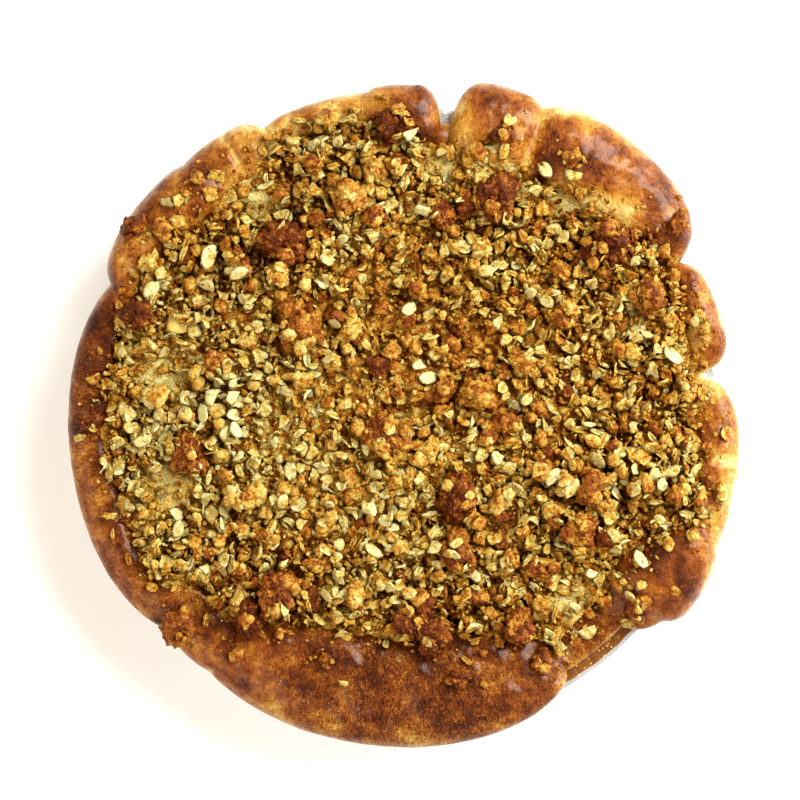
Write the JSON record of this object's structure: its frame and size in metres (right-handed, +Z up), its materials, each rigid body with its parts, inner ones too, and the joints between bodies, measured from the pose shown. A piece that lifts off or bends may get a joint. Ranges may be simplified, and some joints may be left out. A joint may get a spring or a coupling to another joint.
{
  "type": "apple crumble pie in a foil tin",
  "caption": "Round uncut apple pie with a heaped oat crumble topping inside a thick folded pastry rim, baked in a fluted foil tin.",
  "frame": {"origin": "centre of the tin's flat base, on the surface that it stands on", "axes": "+Z up through the pie, -Y towards its front, where the broad pastry flap lies, +X to its right"},
  "size_m": [0.2465, 0.2438, 0.0583],
  "materials": {
    "foil": "bright pressed foil with fine creases",
    "pastry": "baked pastry, golden to dark brown, partly glossy",
    "crumble": "toasted oat crumble, matt with small glossy spots",
    "apple": "moist translucent cooked apple"
  },
  "bodies": {
    "root": {"foil_tin": "foil", "pastry": "pastry", "crumble": "crumble", "apple_piece_1": "apple", "apple_piece_2": "apple", "apple_piece_3": "apple", "apple_piece_4": "apple"}
  },
  "joints": []
}
